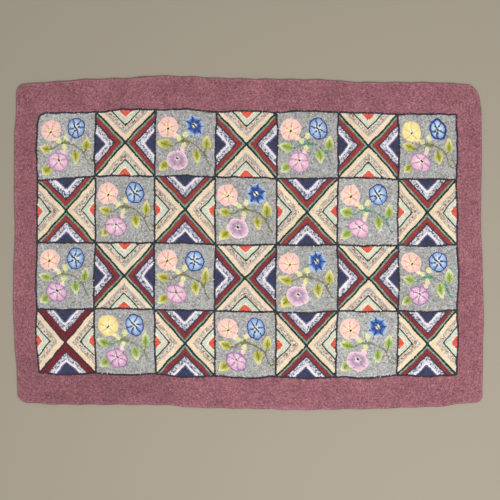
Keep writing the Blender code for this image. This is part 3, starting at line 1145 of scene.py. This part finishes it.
def drawn_again(spot, stray=PLACE_STRAY):
    """The same spot, drawn again by hand."""
    return Spot(spot.x + chance.normal(0.0, stray), spot.y + chance.normal(0.0, stray),
                spot.wide * chance.uniform(*SIZE_STRAY), spot.high * chance.uniform(*SIZE_STRAY),
                spot.tilt + chance.normal(0.0, TILT_STRAY))


def flower_block(block):
    """The loops of one morning-glory block, in mm from its middle."""
    pile = Pile()
    shapes = []
    for bloom, spot, throat in ((block.first, FIRST_SPOT, FIRST_THROAT),
                                (block.second, SECOND_SPOT, SECOND_THROAT),
                                (block.third, THIRD_SPOT, THIRD_THROAT)):
        shapes.append(hook_bloom(pile, bloom, drawn_again(spot), throat))
    sway = chance.normal(0.0, VINE_SWAY, 2)
    curls = chance.random() < CURLING
    for path, rows in ((VINE if curls else VINE[:-2], (0.0,)), (VINE[3:6], (-0.9, 0.9)),
                       (LEAF_STEM, (0.0,)), (TENDRIL, (0.0,) if curls else ()),
                       (BUD_STEM, (0.0,))):
        for side in rows:
            pile.hook_along(beside(smooth_path(path) + sway, side * STEM.width),
                            block.green.vine, STEM)
    for leaf in LEAVES:
        shift = chance.normal(0.0, LEAF_SWAY, 2)
        leaf = Leaf(leaf.base + shift, leaf.tip + shift + chance.normal(0.0, 2.0, 2),
                    leaf.wide * chance.uniform(0.93, 1.07))
        shapes.append(hook_leaf(pile, leaf, block.green))
    for bit in BITS:
        spot = drawn_again(bit.spot, 0.5 * PLACE_STRAY)
        yellow = block.first is BUTTER and bit.wool is PALE_NECK
        bit_wool = BUTTER_NECK if yellow else bit.wool
        rings(pile, oval(spot), np.array([spot.x, spot.y]),
              lambda row: spin(bit_wool, len(row)), 0.5 * ROW_PITCH)
    half = np.array([BLOCK_WIDTH, BLOCK_DEPTH]) / 2.0 - LINE_PITCH - 0.5 * ROW_PITCH
    half_x, half_y = half
    sides = half * [(-1.0, -1.0), (1.0, -1.0), (1.0, 1.0), (-1.0, 1.0)]
    ground = [row_along(shape, LOOP_PITCH, ROW_PITCH, closed=True)
              for shape in shapes + [sides]]
    rows = round(2.0 * half_y / ROW_PITCH)
    x = np.linspace(-half_x, half_x, 60)[:-1]
    for y in np.linspace(half_y, -half_y, rows + 1)[1:-1]:
        start = chance.uniform(0.0, LOOP_PITCH)
        wave = sum(size * np.sin(x / across + y / up) for size, across, up in LEVEL_WAVES)
        ground.append(row_along(np.stack([x + start, y + wave], 1), LOOP_PITCH, ROW_PITCH))
    for row in ground:
        row = row[(np.abs(row[:, :2]) <= half + OVERLAP).all(axis=1)]
        pile.hook(row, spin(ODD_GREYS, len(row)) * block.pale, FILLING.room)
    return pile.loops()


for line in range(LINES):
    hook_blocks(f"flower_blocks_{line + 1}", line,
                [(block.column, flower_block(block)) for block in FLOWER_BLOCKS
                 if block.line == line])


# ---------------------------------------------------------------------------------------
# Border.  A broad frame of dusty rose wool, from old cloth of several dye lots.  It is
# hooked in rounds that follow the rug's outer edge, and one that follows the panel.
FIRST_ROUND = 1.4               # mm inside the cloth's edge
MOST_ROUNDS = 34
ROUND_SLACK = 0.6               # mm that a round may lie nearer to the edge than it should
ROUND_TONE, LOT_TONE = 0.02, 0.05       # how much lighter or darker a round or a lot is
LOT_WAVE = 0.12                 # metres from a lighter lot of the dye to the next
SHADED_CORNER, DARK_FADE = (-0.18, -0.26), 0.16      # metres, where the painted shade of the front left corner begins
# how much the painted shade darkens the front left corner
CORNER_SHADE_TONE = 0.15
SIDE_LAP = 0.02                 # metres that the border's long pieces reach past the panel
BORDER_TILES = 4                # of each piece's baked picture
DUSTY_ROSE = wool((147, 92, 103), (159, 104, 112), (149, 97, 105), (164, 112, 119),
                  (136, 82, 95), (154, 102, 104), (156, 98, 114), drift=0.3, fleck=0.85,
                  tone=0.15)
EDGE_ROSE = wool((160, 106, 115), (152, 100, 109), (168, 114, 122), drift=0.2, fleck=0.8,
                 tone=0.12)

outer = resampled(rug_edge / MM, 2.0)
nearest = tree_of(outer)

border_pile = Pile()
border_pile.squares.update(line_pile.squares)
border_pile.hook_along(beside(outer, FIRST_ROUND, closed=True), EDGE_ROSE,
                       Hooking(LOOP_PITCH, ROW_PITCH), closed=True)
border_pile.hook_along(beside(panel, 1.5 * ROW_PITCH, closed=True), DUSTY_ROSE, FILLING,
                       closed=True)
for number in range(1, MOST_ROUNDS):
    depth = FIRST_ROUND + number * ROW_PITCH
    path = beside(outer, depth, closed=True)
    clear = np.array([nearest.find((x, y, 0.0))[2] for x, y in path]) > depth - ROUND_SLACK
    row = row_along(path[clear], LOOP_PITCH, ROW_PITCH, closed=True)
    row = row[~within(panel, row[:, 0], row[:, 1])]
    if len(row) == 0:
        break
    tone = 1.0 + chance.normal(0.0, ROUND_TONE)
    border_pile.hook(row, spin(DUSTY_ROSE, len(row)) * tone, FILLING.room)
line_rows = line_pile.loops()
border_loops = in_metres(filled_in(
    border_pile.loops(), line_rows,
    lambda x, y: within(outer[::4], x, y) & ~within(panel, x, y)))
lots = ripple(border_loops[:, 0], border_loops[:, 1], LOT_WAVE, 31)
border_loops[:, 5:] *= 1.0 + LOT_TONE * lots[:, None]
# Painted shade: the front left corner of the border is darkened, where the lamp's light falls
# off.
darker = ((SHADED_CORNER - border_loops[:, :2]) / DARK_FADE).clip(0.0, 1.0).prod(axis=1)
border_loops[:, 5:] *= 1.0 - CORNER_SHADE_TONE * darker[:, None]
panel_metres = panel * MM
at_back = border_loops[:, 1] > panel_metres[:, 1].max() - SIDE_LAP
at_front = border_loops[:, 1] < panel_metres[:, 1].min() + SIDE_LAP
at_left = ~at_back & ~at_front & (border_loops[:, 0] < 0.0)
at_right = ~at_back & ~at_front & (border_loops[:, 0] > 0.0)
for name, here, axis in (("border_back", at_back, 0), ("border_front", at_front, 0),
                         ("border_left", at_left, 1), ("border_right", at_right, 1)):
    loops = border_loops[here]
    along = loops[:, axis]
    share = (along - along.min()) / (along.max() - along.min())
    tiles = (share * (BORDER_TILES - 0.001)).astype(int)
    hooked_piece(name, loops, tiles, (1, BORDER_TILES) if axis == 0 else (BORDER_TILES, 1))


# ---------------------------------------------------------------------------------------
# Whipped edge.  Rose-brown wool is sewn over and over round the turned hem, each stitch
# lying against the last on a slant, from the back of the rug over the edge to its face.
STITCH_PITCH = 3.9              # mm
STITCH_WIDTH = 5.9
STITCH_THICKNESS = 1.5
STITCH_BEND = 2.5               # from the middle of the hem to the middle of the yarn
STITCH_TURN = 205.0             # degrees round the hem
STITCH_SLANT, STITCH_SWAY = 0.42, 0.25      # along the edge for each mm it goes up
STITCH_THICK, STITCH_PULL = (0.9, 1.1), (0.93, 1.0)     # from one stitch to the next
HEM_SETTLE = 0.6                # the share of the rug's rise that the stitches follow
STITCH_SHRINK = 0.7             # a stitch's share of its place in the baked picture
WHIPPING_REACH = 4.2            # that the whipping stands outside the pile
# Radians round the yarn and along it that a stitch's place in the baked picture spans, and
# where the stitch starts in it.
ROUND_SPAN, ALONG_SPAN, ROUND_START, ALONG_START = 7.0, 4.5, 0.2, 0.4
END_SPREAD = 0.02               # radians, how far the stitch's flat ends are opened out
WHIPPING_ROSE = wool((146, 98, 104), (134, 86, 94), (154, 106, 110), (140, 94, 98), drift=0.2,
                     fleck=0.5)

deselect()
bpy.ops.mesh.primitive_circle_add(vertices=4, radius=0.5, location=(0.0, 0.0, STITCH_BEND),
                                  rotation=(0.5 * math.pi, 0.0, 0.0), fill_type="NOTHING")
one_stitch = bpy.context.object
one_stitch.scale = (STITCH_WIDTH, STITCH_THICKNESS, 1.0)
bpy.ops.object.transform_apply(location=True, rotation=True, scale=True)
bpy.ops.object.mode_set(mode="EDIT")
bpy.ops.mesh.select_all(action="SELECT")
bpy.ops.mesh.spin(steps=4, angle=math.radians(STITCH_TURN), center=(0.0, 0.0, 0.0),
                  axis=(1.0, 0.0, 0.0))
bpy.ops.mesh.select_all(action="SELECT")
bpy.ops.mesh.fill_holes(sides=0)
bpy.ops.mesh.normals_make_consistent(inside=False)
bpy.ops.object.mode_set(mode="OBJECT")
stitch_points = coordinates(one_stitch.data)
stitch_faces = [list(face.vertices) for face in one_stitch.data.polygons]
bpy.data.objects.remove(one_stitch)
round_hem = np.arctan2(stitch_points[:, 1], stitch_points[:, 2])
round_yarn = np.arctan2(np.hypot(stitch_points[:, 1], stitch_points[:, 2]) - STITCH_BEND,
                        stitch_points[:, 0])


def stitch_flat():
    """One stitch opened out flat, corner by corner: round the yarn, and along it."""
    flat = []
    for face in stitch_faces:
        turn = round_yarn[face]
        turn = np.where((turn < 0.0) & (np.ptp(turn) > math.pi), turn + 2.0 * math.pi, turn)
        along = round_hem[face]
        if np.ptp(along) < 0.5 * END_SPREAD:
            along = along + END_SPREAD * np.sin(turn)
        flat.append(np.stack([turn / ROUND_SPAN - ROUND_START,
                              along / ALONG_SPAN - ALONG_START], axis=1))
    return np.concatenate(flat)


hem = beside(outer, -(WHIPPING_REACH - STITCH_BEND - STITCH_THICKNESS / 2.0), closed=True)
row = row_along(hem, STITCH_PITCH, STITCH_PITCH, closed=True)
count = len(row)
slant = stitch_points[:, 2] * STITCH_SLANT + stitch_points[:, 2] * chance.normal(
    0.0, STITCH_SWAY, (count, 1))
back = -(stitch_points[:, 0] * chance.uniform(*STITCH_THICK, (count, 1)) + slant)
out = stitch_points[:, 1] * chance.uniform(*STITCH_PULL, (count, 1))
lift = HEM_SETTLE * rise(row[:, 0] * MM, row[:, 1] * MM) / MM
hem_height = STITCH_BEND + STITCH_THICKNESS / 2.0 + lift
points = MM * np.dstack([row[:, None, :2] + turned(back, -out, row[:, 2]),
                         hem_height[:, None] + stitch_points[:, 2]])
middle, scale = bake_rows(count, 1.0)
flat = middle[:, None, :] + stitch_flat() * scale[:, None, :] * STITCH_SHRINK
# Painted shade: the stitches are darkened towards the floor, below 4 mm.
whipped_wool = wool_material("whipped wool", 0.0, 4.0 * MM)
whipping = joined_copies("whipped_edge", points, stitch_faces, spin(WHIPPING_ROSE, count), flat,
                         whipped_wool)
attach(whipping, "root")
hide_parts("edge_whipping")


# ---------------------------------------------------------------------------------------
# Floor and light.  A plain pale floor, one broad soft lamp a little in front of the rug and
# above the camera, and a pale surround that fills the shadows.
FLOOR_COLOUR = dye(155, 146, 130)
deselect()
bpy.ops.mesh.primitive_plane_add(size=40.0)
floor = bpy.context.object
floor.name = "floor"
floor_paint = new_material("floor paint", Base_Color=(*FLOOR_COLOUR, 1.0), Roughness=0.7)[0]
floor.data.materials.append(floor_paint)

lamp = bpy.data.lights.new("lamp", "AREA")
lamp.shape = "DISK"
lamp.size = 3.2
lamp.energy = 208.0
lamp_object = bpy.data.objects.new("lamp", lamp)
lamp_object.location = (1.1, -1.6, 4.5)
lamp_object.rotation_euler = (math.radians(19.0), math.radians(13.0), 0.0)
bpy.context.scene.collection.objects.link(lamp_object)
surround = bpy.data.worlds.new("surround")
surround.use_nodes = True
set_inputs(surround.node_tree.nodes["Background"], Color=(1.0, 0.99, 0.97, 1.0), Strength=0.42)
bpy.context.scene.world = surround
bpy.context.scene.view_settings.view_transform = "Standard"
